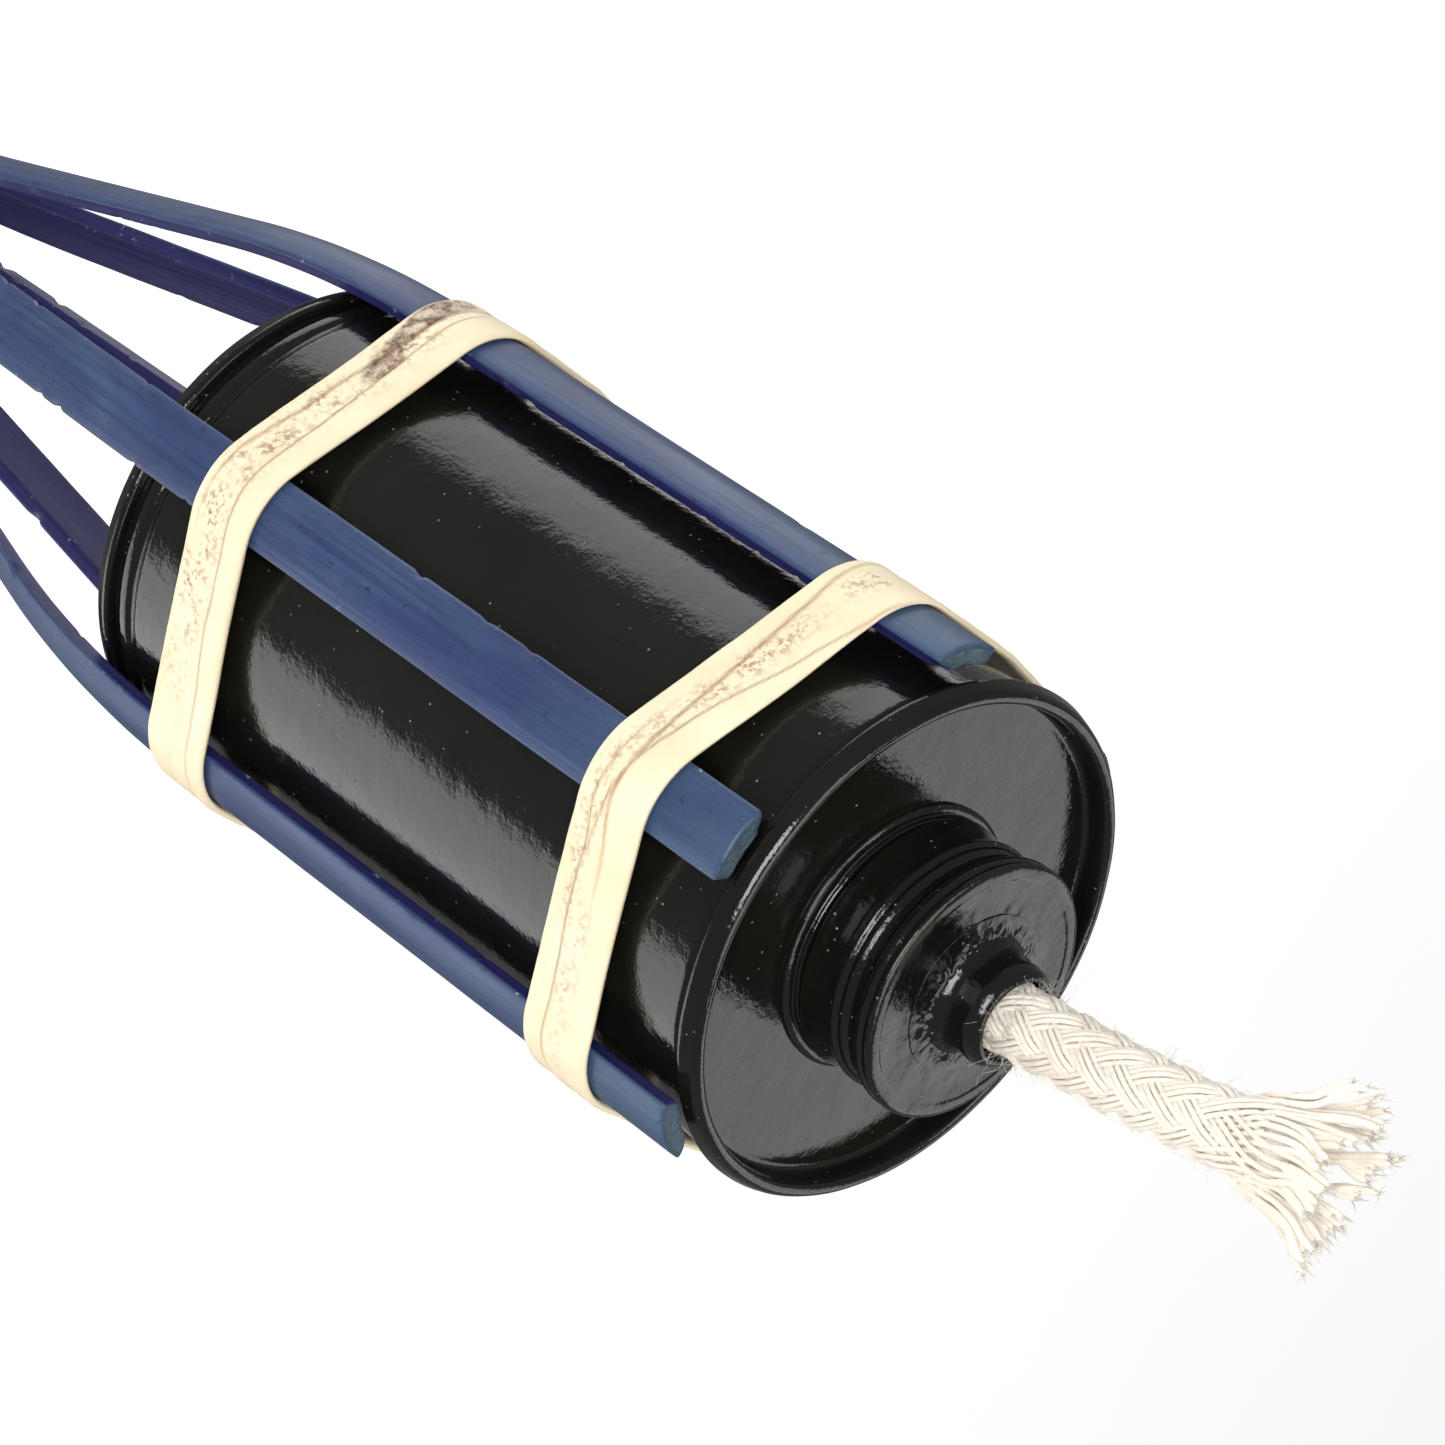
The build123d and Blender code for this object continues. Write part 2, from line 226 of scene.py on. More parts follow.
def latex(name):
    """Natural rubber: cream, powdery, with speckled grime and brown stains; its creases are darkened with
    painted shade.
    """
    p = Paint(name, Subsurface_Weight=0.15, Subsurface_Radius=(0.002, 0.0012, 0.0006), IOR=1.45)
    where = p.place()
    cream = p.ramp(p.noise(where, 130.0, 4.0), (0.3, (0.83, 0.70, 0.46)), (0.7, (0.88, 0.78, 0.57)))
    # Painted shade: the crease mark darkens the band along its folds, where the ledges would shade each
    # other.
    crease_shaded = p.mix(p.mark("crease_shade"), cream, (0.40, 0.27, 0.14))
    dots = p.ramp(p.noise(where, 1250.0, 3.0, 0.65), (0.47, 0.0), (0.60, 1.0))
    patches = p.ramp(p.noise(where, 210.0, 4.0, 0.6, 0.5), (0.38, 0.0), (0.62, 1.0))
    grime = p.sums("MULTIPLY", p.mark("grime"), p.sums("MULTIPLY", dots, p.sums("ADD", patches, 0.15)))
    dirty = p.mix(grime, crease_shaded, (0.31, 0.15, 0.10))
    edge = p.sums("ADD", p.mark("stain"), p.sums("SUBTRACT", p.noise(where, 330.0, 5.0, 0.7), 0.62))
    streaks = p.ramp(p.noise(where, 620.0, 5.0, 0.75), (0.38, 0.25), (0.58, 1.0))
    stain = p.sums("MULTIPLY", p.ramp(edge, (0.28, 0.0), (0.60, 0.9)), streaks)
    colour = p.mix(stain, dirty, (0.090, 0.022, 0.018))
    gloss = p.ramp(p.noise(where, 400.0, 3.0), (0.3, 0.50), (0.7, 0.72))
    coarse = p.bump(p.noise(where, 320.0, 4.0, 0.6), 0.25, 0.0005)
    return p.finish(colour, gloss, p.bump(p.noise(where, 2600.0, 3.0, 0.6), 0.35, 0.00015, coarse))


def cotton(name):
    """Undyed cotton yarn, with its twist, loose fibres and slightly uneven cream."""
    p = Paint(name, Subsurface_Weight=0.25, Subsurface_Radius=(0.0016, 0.0011, 0.0008),
              Sheen_Weight=0.25, IOR=1.4)
    twist = p.noise(p.mark("yarn", (1, 1, 1)), 1.6, 3.0, 0.6)
    patch = p.noise(p.place(), 150.0, 3.0)
    base = p.ramp(patch, (0.3, (0.95, 0.85, 0.73)), (0.7, (0.97, 0.91, 0.82)))
    colour = p.mix(p.ramp(twist, (0.32, 0.35), (0.50, 0.0)), base, (0.88, 0.72, 0.56))
    gloss = p.ramp(twist, (0.3, 0.95), (0.7, 0.75))
    fine = p.bump(p.noise(p.place(), 4200.0, 2.0), 0.4, 0.0001)
    return p.finish(colour, gloss, p.bump(twist, 0.8, 0.0003, fine))


def seal_rubber(name):
    """Dull dark sheet rubber with a fine grit."""
    p = Paint(name, IOR=1.5)
    where = p.place()
    grit = p.noise(where, 2200.0, 4.0, 0.7)
    colour = p.ramp(grit, (0.3, (0.16, 0.15, 0.14)), (0.7, (0.27, 0.26, 0.24)))
    return p.finish(colour, p.ramp(grit, (0.3, 0.6), (0.7, 0.85)), p.bump(grit, 0.4, 0.0001))


def ground(name):
    """Pale studio floor, lifted towards white."""
    p = Paint(name, Emission_Strength=0.72)
    cloud = p.noise(p.place(), 1.3, 5.0, 0.6)
    colour = p.ramp(cloud, (0.3, 0.835), (0.7, 0.85))
    p.tree.links.new(colour, p.shader.inputs["Emission Color"])
    gloss = p.ramp(cloud, (0.3, 0.85), (0.7, 0.95))
    return p.finish(colour, gloss, p.bump(p.noise(p.place(), 300.0), 0.1, 0.0005))


TIN = enamel("tin_enamel", 0.32, 0.0)
CAP = enamel("cap_enamel", 0.42, 0.05)
BAMBOO = bamboo("dyed_bamboo_fibre")
LATEX = latex("natural_latex")
COTTON = cotton("cotton_yarn")
RUBBER = seal_rubber("seal_rubber_sheet")


# ---------------------------------------------------------------- mesh helpers

def make_piece(name, points, faces, material, body, nodes, marks=None):
    """A smooth closed mesh that rides on its body and replaces those CAD nodes. Points are in mm."""
    mesh = bpy.data.meshes.new(name)
    mesh.from_pydata((np.asarray(points) * MM).tolist(), [], faces)
    for mark, values in (marks or {}).items():
        values = np.asarray(values, np.float32)
        vector = values.ndim == 2
        layer = mesh.attributes.new(mark, "FLOAT_VECTOR" if vector else "FLOAT", "POINT")
        layer.data.foreach_set("vector" if vector else "value", values.ravel())
    work = bmesh.new()
    work.from_mesh(mesh)
    bmesh.ops.recalc_face_normals(work, faces=work.faces)
    work.to_mesh(mesh)
    work.free()
    mesh.polygons.foreach_set("use_smooth", [True] * len(mesh.polygons))
    mesh.update()
    mesh.materials.append(material)
    piece = bpy.data.objects.new(name, mesh)
    bpy.context.scene.collection.objects.link(piece)
    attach(piece, body)
    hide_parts(*nodes)
    return piece


def wave(point, size, seed=0.0):
    """Smooth noise from -1 to 1 at a point in mm, with features of that size."""
    return noise.noise(Vector(point) / size + Vector((seed, seed * 0.7, seed * 1.3)))


def rounded(corners, reach=1.6):
    """A closed outline with each corner (x, y, rounding) eased, and its runs divided."""
    count = len(corners)
    eased = []
    for i, (x, y, size) in enumerate(corners):
        here = np.array((x, y))
        before = np.array(corners[i - 1][:2])
        after = np.array(corners[(i + 1) % count][:2])
        back, on = before - here, after - here
        size = min(size, 0.45 * np.linalg.norm(back), 0.45 * np.linalg.norm(on))
        start = here + back / np.linalg.norm(back) * size
        end = here + on / np.linalg.norm(on) * size
        steps = 3 if size < 0.5 else 6
        for t in np.linspace(0, 1, steps + 1):
            eased.append((1 - t) ** 2 * start + 2 * t * (1 - t) * here + t * t * end)
    line = []
    for i, a in enumerate(eased):
        line.append(a)
        b = eased[(i + 1) % len(eased)]
        run = np.linalg.norm(b - a)
        if run < 0.9:
            continue
        cuts = [0.15 / run, *np.linspace(0, 1, int(run / reach) + 2)[1:-1], 1 - 0.15 / run]
        line.extend(a + (b - a) * t for t in sorted(cuts))
    return np.array(line)


def ring_faces(rings, sides, closed=False):
    """Quads between rings of points that follow one another. Closed, the last ring meets the first."""
    faces = []
    for i in range(rings if closed else rings - 1):
        j = (i + 1) % rings
        for k in range(sides):
            m = (k + 1) % sides
            faces.append((i * sides + k, i * sides + m, j * sides + m, j * sides + k))
    return faces


def lathe(line, turns=192):
    """Points and faces of a closed outline (radius, height) turned round the z axis."""
    angle = np.arange(turns) * 2 * math.pi / turns
    ring = np.stack([np.cos(angle), np.sin(angle)], 1)
    count = len(line)
    points = np.zeros((count * turns, 3))
    for i, (radius, height) in enumerate(line):
        points[i * turns:(i + 1) * turns, :2] = ring * radius
        points[i * turns:(i + 1) * turns, 2] = height
    return points, ring_faces(count, turns, closed=True)


def shaken(points, size, amount, seed):
    """The points moved by smooth noise, so that reflections in them waver."""
    moved = np.array(points)
    for row in moved:
        at = Vector(row) / size + Vector((seed, 0, seed))
        row += np.array(noise.noise_vector(at)) * amount
    return moved


def tube(line, radius, sides, guide):
    """Points and faces of a closed tube along a line, with its rings turned by the guide vectors."""
    count = len(line)
    along = np.gradient(line, axis=0)
    along /= np.linalg.norm(along, axis=1)[:, None]
    across = np.cross(along, guide)
    across /= np.linalg.norm(across, axis=1)[:, None]
    third = np.cross(across, along)
    turn = np.arange(sides) * 2 * math.pi / sides
    radius = np.broadcast_to(radius, (count,))
    ring = across[:, None, :] * np.cos(turn)[None, :, None] + third[:, None, :] * np.sin(turn)[None, :, None]
    points = line[:, None, :] + ring * radius[:, None, None]
    faces = ring_faces(count, sides)
    faces.append(tuple(range(sides))[::-1])
    faces.append(tuple((count - 1) * sides + k for k in range(sides)))
    return points.reshape(-1, 3), faces


class Heap:
    """Several small meshes gathered into one piece."""

    def __init__(self):
        self.points, self.faces, self.marks, self.size = [], [], [], 0

    def add(self, points, faces, marks):
        self.faces.extend(tuple(v + self.size for v in face) for face in faces)
        self.points.append(points)
        self.marks.append(marks)
        self.size += len(points)


# ---------------------------------------------------------------- wick, read from its route's own spline

WICK_ROUTE = ((2.5, 1.5, 795.0), (2.2, -0.8, 822.0), (0.0, 0.0, 864.0), (0.6, 0.0, 929.0), (-5.0, 0.3, 958.5))
ROPE = 4.75             # radius of the rope
YARN = 0.335            # radius of a yarn
YARN_PLACES = (-1.5, -0.5, 0.5, 1.5)    # the four yarns of a strand, side by side
STRANDS = 8             # strands laid each way
PITCH = 41.0            # length in which a strand goes once round
MOUTH = 920.3           # height of the nozzle's mouth
JOIN_HEIGHT = 891.6     # where the rope in the nozzle meets its tail
OPENING = 9.0           # length at its end in which the braid comes apart
FAN = 11.0              # how far the frayed end spreads to each side


def route_points():
    """Points along the wick's route, a curve that Blender works out from WICK_ROUTE."""
    curve = bpy.data.curves.new("wick_route", "CURVE")
    curve.dimensions = "3D"
    spline = curve.splines.new("NURBS")
    spline.points.add(len(WICK_ROUTE) - 1)
    for point, place in zip(spline.points, WICK_ROUTE):
        point.co = (*(v * MM for v in place), 1.0)
    spline.order_u = 3
    spline.use_endpoint_u = True
    spline.resolution_u = 80
    holder = bpy.data.objects.new("wick_route", curve)
    bpy.context.scene.collection.objects.link(holder)
    mesh = bpy.data.meshes.new_from_object(holder)
    points = np.array([v.co[:] for v in mesh.vertices]) / MM
    bpy.data.objects.remove(holder)
    bpy.data.meshes.remove(mesh)
    bpy.data.curves.remove(curve)
    return points


class Route:
    """Place, direction and side vectors at any length along the wick."""

    def __init__(self, points):
        self.points = points
        steps = np.linalg.norm(np.diff(points, axis=0), axis=1)
        self.run = np.concatenate([[0], np.cumsum(steps)])
        self.length = self.run[-1]
        along = np.gradient(points, axis=0)
        self.along = along / np.linalg.norm(along, axis=1)[:, None]

    def at(self, where):
        return np.stack([np.interp(where, self.run, self.points[:, k]) for k in range(3)], 1)

    def frames(self, where):
        along = np.stack([np.interp(where, self.run, self.along[:, k]) for k in range(3)], 1)
        along /= np.linalg.norm(along, axis=1)[:, None]
        side = np.cross((0.0, 1.0, 0.0), along)
        side /= np.linalg.norm(side, axis=1)[:, None]
        return along, side, np.cross(along, side)


ROUTE = Route(route_points())
JOIN = float(np.interp(JOIN_HEIGHT, ROUTE.points[:, 2], ROUTE.run))


def strand_line(where, way, index, shift):
    """Centre of one yarn of a braided strand. It passes over two strands, then under two."""
    loosen = np.clip((where - ROUTE.length + OPENING) / OPENING, 0, 1)
    turn = 2 * math.pi * (where - 0.35 * OPENING * loosen ** 2) / PITCH
    crossing = turn * STRANDS / math.pi
    step = 2 * math.pi * index / STRANDS
    if way > 0:
        lift = np.cos(math.pi / 2 * (crossing + 2 * index - 0.5))
    else:
        lift = np.cos(math.pi / 2 * (-crossing + 2 * index - 2.5))
    lift = np.clip(lift * 1.5, -1, 1)
    angle = way * turn + step + shift * 0.72 / 3.5
    radius = ROPE - YARN - 0.37 + 0.37 * lift - 0.11 * shift * shift * (lift > 0)
    radius = radius + 0.06 * np.sin(where * 1.9 + index * 2.1 + shift)
    along, side, other = ROUTE.frames(where)
    spoke = side * np.cos(angle)[:, None] + other * np.sin(angle)[:, None]
    wider = 1 + 0.52 * loosen ** 1.6 + 0.05 * loosen * np.sin(index * 2.7 + way)
    offset = side * (np.cos(angle) * radius * wider)[:, None]
    offset += other * (np.sin(angle) * radius * (1 + 0.1 * loosen))[:, None]
    return ROUTE.at(where) + offset, along, spoke


def yarn_marks(count, sides, run, tag, twist=1.25):
    """Coordinates that wind round a yarn, for its twist."""
    turn = np.arange(sides) * 2 * math.pi / sides
    angle = turn[None, :] - twist * np.broadcast_to(run, (count,))[:, None]
    third = np.broadcast_to(run[:, None] * 0.35 + tag * 7.3, angle.shape)
    return np.stack([np.cos(angle) * 1.6, np.sin(angle) * 1.6, third], 2).reshape(-1, 3)


def cotton_piece(name, heap, nodes):
    marks = {"yarn": np.concatenate(heap.marks)}
    return make_piece(name, np.concatenate(heap.points), heap.faces, COTTON, "wick", nodes, marks)


def braid(name, start, end, step, sides):
    """The braided rope from one length along the route to another, round a plain core."""
    heap = Heap()
    where = np.linspace(start, end, int((end - start) / step) + 2)
    tag = 0
    for way in (1, -1):
        for index in range(STRANDS):
            for shift in YARN_PLACES:
                line, _, spoke = strand_line(where, way, index, shift)
                points, faces = tube(line, YARN, sides, spoke)
                heap.add(points, faces, yarn_marks(len(where), sides, where, tag))
                tag += 1
    _, side, _ = ROUTE.frames(where)
    points, faces = tube(ROUTE.at(where), ROPE - 1.15, 16, side)
    heap.add(points, faces, yarn_marks(len(where), 16, where, 99))
    return cotton_piece(name, heap, ["wick"]), (ROUTE.at(where) * MM).tolist()


def curl(start, leave, end, arrive, steps, sway, seed):
    """A loose yarn's line from its place in the braid to its frayed end."""
    t = np.linspace(0, 1, steps)[:, None]
    line = (1 - t) ** 3 * start + 3 * t * (1 - t) ** 2 * leave + 3 * t * t * (1 - t) * arrive + t ** 3 * end
    for row, share in zip(line, t[:, 0]):
        at = Vector(row) / 6.0 + Vector((seed, seed, 0))
        row += np.array(noise.noise_vector(at)) * sway * share
    return line


def tufts(heap, path, spoke, tag):
    """Fine fibres at a yarn's cut end."""
    head = path[-1] - path[-4]
    head /= np.linalg.norm(head)
    share = np.linspace(0, 1, 5)[:, None]
    for _ in range(7):
        drift = head + rng.normal(0, 0.28, 3)
        length = rng.uniform(0.7, 1.7)
        bent = path[-2] + share * drift * length
        bent += (share ** 2) * rng.normal(0, 0.35, 3)
        points, faces = tube(bent, np.array((0.11, 0.10, 0.08, 0.06, 0.02)), 4, spoke)
        heap.add(points, faces, yarn_marks(5, 4, np.linspace(0, length, 5), tag))


def fray():
    """The unlaid end: each strand's yarns spread out in a flattened fan."""
    heap = Heap()
    end = ROUTE.length
    along, side, other = (v[0] for v in ROUTE.frames(np.array([end])))
    centre = ROUTE.at(np.array([end]))[0]
    tag = 200
    strands = [(way, index) for way in (1, -1) for index in range(STRANDS)]
    roots = {key: strand_line(np.array([end - 1.5, end]), *key, 0.0) for key in strands}
    order = sorted(strands, key=lambda key: float(np.dot(roots[key][0][1] - centre, side)))
    for rank, (way, index) in enumerate(order):
        root, _, spoke = roots[way, index]
        y = float(np.dot(root[1] - centre, other))
        reach = rng.uniform(8.0, 11.5)
        fan = FAN * (2 * (rank + 0.5) / len(order) - 1) + rng.uniform(-0.8, 0.8)
        goal = centre + along * (reach - 0.012 * fan * fan) + side * fan
        goal = goal + other * (y * 1.2 + rng.uniform(-1.0, 1.0))
        for shift in YARN_PLACES:
            line, _, _ = strand_line(np.array([end - 2.0, end - 1.0, end]), way, index, shift)
            lead = line[2] - line[0]
            tip = goal + side * shift * rng.uniform(0.45, 0.75)
            tip = tip + other * rng.uniform(-0.8, 0.8) + along * rng.uniform(-1.4, 1.2)
            leave = line[2] + lead * 0.9 + along * 1.5
            arrive = tip - along * 3.5 - side * fan * 0.22 + other * rng.uniform(-0.6, 0.6)
            path = curl(line[1], leave, tip, arrive, 26, 1.3, tag * 0.01 + index)
            run = np.linspace(0, reach, len(path)) + tag
            thick = YARN * np.linspace(1.0, 1.55, len(path))
            thick[-3:] *= (0.95, 0.8, 0.5)
            points, faces = tube(path, thick, 6, spoke[0])
            heap.add(points, faces, yarn_marks(len(path), 6, run, tag, 0.9))
            tufts(heap, path, spoke[0], tag)
            tag += 1
    return cotton_piece("rope_fray", heap, ["wick_fray"])


def fuzz():
    """Fine fibres that stand off the rope, most of them at the nozzle's mouth."""
    heap = Heap()
    mouth = float(np.interp(MOUTH, ROUTE.points[:, 2], ROUTE.run))
    for number in range(420):
        close = number < 190
        where = mouth + (rng.uniform(0.2, 3.0) if close else rng.uniform(0.5, ROUTE.length - mouth))
        along, side, other = (v[0] for v in ROUTE.frames(np.array([where])))
        angle = rng.uniform(0, 2 * math.pi)
        spoke = side * math.cos(angle) + other * math.sin(angle)
        start = ROUTE.at(np.array([where]))[0] + spoke * (ROPE - 0.3)
        length = rng.uniform(1.0, 3.4) if close else rng.uniform(0.4, 1.5)
        drift = spoke * rng.uniform(0.3, 1.0) + rng.normal(0, 0.5, 3) + along * rng.uniform(-0.2, 0.6)
        t = np.linspace(0, 1, 7)[:, None]
        line = start + drift * length * t + rng.normal(0, 0.5, 3) * t * t
        line = line + rng.normal(0, 0.25, 3) * np.sin(t * 6)
        points, faces = tube(line, np.linspace(0.028, 0.014, 7), 3, along + 0.01)
        heap.add(points, faces, yarn_marks(7, 3, np.linspace(0, 1, 7), number))
    return cotton_piece("rope_fuzz", heap, [])


rope, rope_path = braid("rope", JOIN, ROUTE.length, 0.62, 7)
tail, tail_path = braid("rope_tail", 0.0, JOIN, 1.5, 5)
loose = fray()
hairs = fuzz()


# ---------------------------------------------------------------- bamboo

def culm_radius(angle, height):
    """The culm swells at each node, with a sheath scar below it and a bud groove above it."""
    radius = POLE + 0.07 * wave((0, 0, height), 60.0, 3.0)
    for number, ring in enumerate(RINGS):
        off = height - ring
        radius += 0.85 * math.exp(-(off / 1.5) ** 2) - 0.55 * math.exp(-((off + 3.1) / 0.55) ** 2)
        radius += 0.38 * math.exp(-((off - 4.5) / 3.2) ** 2) + 0.32 * math.exp(-((off + 4.6) / 0.7) ** 2)
        if 2.0 < off < 120.0:
            bud = (angle - number * math.pi - 0.6 + math.pi) % (2 * math.pi) - math.pi
            radius -= 0.55 * math.exp(-(bud / 0.28) ** 2) * math.exp(-off / 45.0) * min(1, (off - 2) / 5)
    return min(radius, POLE + 0.9)


def culm():
    """The pole below the slats, hollow but for the solid culm at its nodes."""
    turns = 120
    heights = [0.0, 0.25, 0.6, 1.2]
    heights += list(np.arange(3.0, SPLIT - 1, 3.0))
    for ring in RINGS:
        heights += list(np.arange(ring - 7.0, ring + 12.0, 0.35))
    heights = sorted(set(round(h, 3) for h in heights))
    heights.append(SPLIT)
    line = [(POLE, h) for h in heights]
    inner = [(BORE + 0.5, SPLIT), (BORE, SPLIT - 0.6), (BORE, RINGS[-1] + 9.0)]
    inner += [(BORE - 2.0, RINGS[-1] + 6.2), (0.02, RINGS[-1] + 6.0)]
    inner += [(0.02, RINGS[0] - 6.0), (BORE - 2.0, RINGS[0] - 6.2), (BORE, RINGS[0] - 9.0)]
    inner += [(BORE, h) for h in np.arange(195.0, 1.0, -12.0)] + [(BORE, 0.8), (BORE + 0.4, 0.0)]
    points, faces = lathe(np.array(line + inner), turns)
    outer = len(line) * turns
    inside = np.zeros(len(points))
    cut = np.zeros(len(points))
    for i, p in enumerate(points):
        angle = math.atan2(p[1], p[0])
        if i < outer:
            eased = culm_radius(angle, p[2]) if p[2] < SPLIT - 30 else POLE
            eased -= 0.35 * max(0.0, 1 - p[2] / 0.6)
            p[:2] *= eased / POLE
        else:
            inside[i] = 1.0
            p[:2] *= 1 + 0.03 * wave(p, 5.0, 8.0)
        cut[i] = float(p[2] < 0.05)
    marks = {"grain": points * MM, "inner": inside, "cut": cut, "tip": np.zeros(len(points)),
             "edge": (points[:, 2] < 1.0) * 0.6}
    make_piece("culm", points, faces, BAMBOO, "torch_frame", ["bamboo_pole"], marks)


def slat_section():
    """Outline of a slat across, as points (distance from the pole's axis, sideways)."""
    corner = SLAT_FLAT * math.tan(HALF)
    between = (SLAT_FLAT + SLAT_HOLLOW) / 2
    arc = [(POLE * math.cos(a), POLE * math.sin(a)) for a in np.linspace(-HALF, HALF, 15)]
    line = [(*arc[0], 0.38)] + [(*p, 0.0) for p in arc[1:-1]] + [(*arc[-1], 0.38)]
    line += [(SLAT_FLAT, corner, 0.3), (between, corner * 0.6, 0.5), (SLAT_HOLLOW, 0, 0.8)]
    line += [(between, -corner * 0.6, 0.5), (SLAT_FLAT, -corner, 0.3)]
    section = rounded([(x, y, max(r, 0.01)) for x, y, r in line], reach=1.1)
    keep = [section[0]]
    for point in section[1:]:
        if np.linalg.norm(point - keep[-1]) > 0.06:
            keep.append(point)
    return np.array(keep)


def slat_path(step, extra):
    """Shift, height and lean at each length along a slat's middle line."""
    bend = ROOT_BEND * LEAN
    seat = SEAT_BEND * LEAN
    straight = STRAIGHT + extra / math.sin(LEAN)

    def place(run):
        if run < bend:
            t = run / ROOT_BEND
            return ROOT_BEND * (1 - math.cos(t)), SPLIT + ROOT_BEND * math.sin(t), t
        x = ROOT_BEND * (1 - math.cos(LEAN))
        z = SPLIT + ROOT_BEND * math.sin(LEAN)
        run -= bend
        if run < straight:
            return x + run * math.sin(LEAN), z + run * math.cos(LEAN), LEAN
        x, z = x + straight * math.sin(LEAN), z + straight * math.cos(LEAN)
        run -= straight
        t = LEAN - min(run, seat) / SEAT_BEND
        x += SEAT_BEND * (math.cos(t) - math.cos(LEAN))
        return x, z + SEAT_BEND * (math.sin(LEAN) - math.sin(t)) + max(0.0, run - seat), t

    return [(*place(run), run) for run in np.arange(0.0, TOP - SPLIT + 20.0, step)]


SECTION = slat_section()
CORNERS = ((POLE * math.cos(HALF), POLE * math.sin(HALF)), (SLAT_FLAT, SLAT_FLAT * math.tan(HALF)))


def slat_rows(number):
    """A slat's shift, height, lean and length along at each ring, with closer rings at its tip."""
    rows = [row for row in slat_path(0.7, EXTRA[number]) if row[1] < TIPS[number] - 0.8]
    shift, height, _, run = rows[-1]
    left = TIPS[number] - height
    closer = [(shift, height + left * share, 0.0, run + left * share) for share in (0.45, 0.72, 0.9, 1.0)]
    return rows + closer


def slat(number):
    """One sprung slat, from the end of the saw cuts to its rough sawn tip."""
    angle = math.radians(number * 60.0 - 90.0)
    out = np.array((math.cos(angle), math.sin(angle), 0.0))
    side = np.array((-math.sin(angle), math.cos(angle), 0.0))
    middle = (POLE + SLAT_HOLLOW) / 2
    seed = number * 3.7 + 1.0
    toward = angle + math.radians(SPLAY[number])
    away = np.array((math.cos(toward), math.sin(toward), 0.0))
    perp = np.array((-math.sin(toward), math.cos(toward), 0.0))
    rows = slat_rows(number)
    shrink = {len(rows) - 3: 0.04, len(rows) - 2: 0.12, len(rows) - 1: 0.34}
    end = rows[-1][3]
    chips = [(rng.uniform(40, end), rng.integers(0, 4), rng.uniform(0.5, 1.6), rng.uniform(0.12, 0.38))
             for _ in range(34)]
    chips.append((end - 0.5, 3 if number % 2 else 2, 1.8, 1.1))
    centre = SECTION.mean(axis=0)
    corner_of = [(CORNERS[c // 2][0], CORNERS[c // 2][1] * (1 if c % 2 else -1)) for c in range(4)]
    near = np.array([[np.exp(-(np.hypot(*(p - np.array(c))) / 0.75) ** 2) for c in corner_of]
                     for p in SECTION])
    points, grain, edge = [], [], []
    for i, (x, z, lean, run) in enumerate(rows):
        tipped = away * math.cos(lean) - np.array((0, 0, 1.0)) * math.sin(lean)
        normal = tipped * np.dot(out, away) + perp * np.dot(out, perp)
        across = tipped * np.dot(side, away) + perp * np.dot(side, perp)
        local = np.array(SECTION)
        settle = min(1.0, run / 12.0)
        width = 1 + settle * (0.012 * wave((0, run, 0), 26.0, seed) - 0.004)
        local[:, 1] *= width
        if i in shrink:
            inward = centre - local
            inward /= np.linalg.norm(inward, axis=1)[:, None]
            local += inward * shrink[i]
        for place, corner, length, depth in chips:
            if abs(run - place) < length * 1.5:
                share = depth * math.exp(-((run - place) / (length * 0.6)) ** 2)
                local += (centre - local) / 3.0 * (near[:, corner] * share)[:, None]
        rough = np.array([wave((p[0] * 2, p[1] * 2, run * 0.25), 2.0, seed) for p in SECTION])
        local += (local - centre) / 4.0 * (rough * 0.035 * settle)[:, None]
        base = out * middle + away * x + np.array((0, 0, z))
        tilt = 0.0 if i < len(rows) - 4 else 0.25 * (i - len(rows) + 5) / 4
        for (a, b), n in zip(local, near):
            slope = np.array((0, 0, 1.0)) * tilt * wave((a, b, 0), 2.5, seed)
            points.append(base + normal * (a - middle) + across * b + slope)
            grain.append(out * a + side * b + np.array((0, 0, SPLIT + run)))
            edge.append(n.max() * settle)
    count = len(SECTION)
    faces = ring_faces(len(rows), count)
    faces.append(tuple(range(count))[::-1])
    cut = np.zeros(len(points))
    cut[-count:] = 1.0
    top = np.array(points[-count:])
    hub = top.mean(axis=0)
    rings = 5
    base_index = (len(rows) - 1) * count
    for ring in range(1, rings):
        for k in range(count):
            p = top[k] + (hub - top[k]) * ring / rings
            p = p + np.array((0, 0, 1.0)) * (0.16 * wave(p, 0.9, seed) + 0.10 * wave(p, 2.4, seed))
            points.append(p)
            grain.append(p)
            edge.append(0.0)
        for k in range(count):
            m = (k + 1) % count
            here = base_index + (ring - 1) * count
            faces.append((here + k, here + m, here + count + m, here + count + k))
    points.append(hub)
    grain.append(hub)
    edge.append(0.0)
    here = base_index + (rings - 1) * count
    faces.extend((here + k, here + (k + 1) % count, len(points) - 1) for k in range(count))
    cut = np.concatenate([cut, np.ones(len(points) - len(cut))])
    past = len(points) - len(rows) * count
    run_share = np.array([row[3] for row in rows]) / end
    # tip: rises over the slat's last part, where the bamboo material paints its lighter highlight.
    tip = np.concatenate([np.repeat(np.clip((run_share - 0.86) / 0.14, 0, 1), count), np.ones(past)])
    shell = (SECTION[:, 0] ** 2 + SECTION[:, 1] ** 2) < (POLE - 0.35) ** 2
    inside = np.concatenate([np.tile(shell.astype(float), len(rows)), np.zeros(past)])
    marks = {"grain": np.array(grain) * MM, "inner": inside, "cut": cut, "tip": tip, "edge": np.array(edge)}
    make_piece(f"split_{number + 1}", points, faces, BAMBOO, "torch_frame",
               [f"slat_{number + 1}"], marks)


culm()
for index in range(SLAT_COUNT):
    slat(index)


# ---------------------------------------------------------------- rubber bands

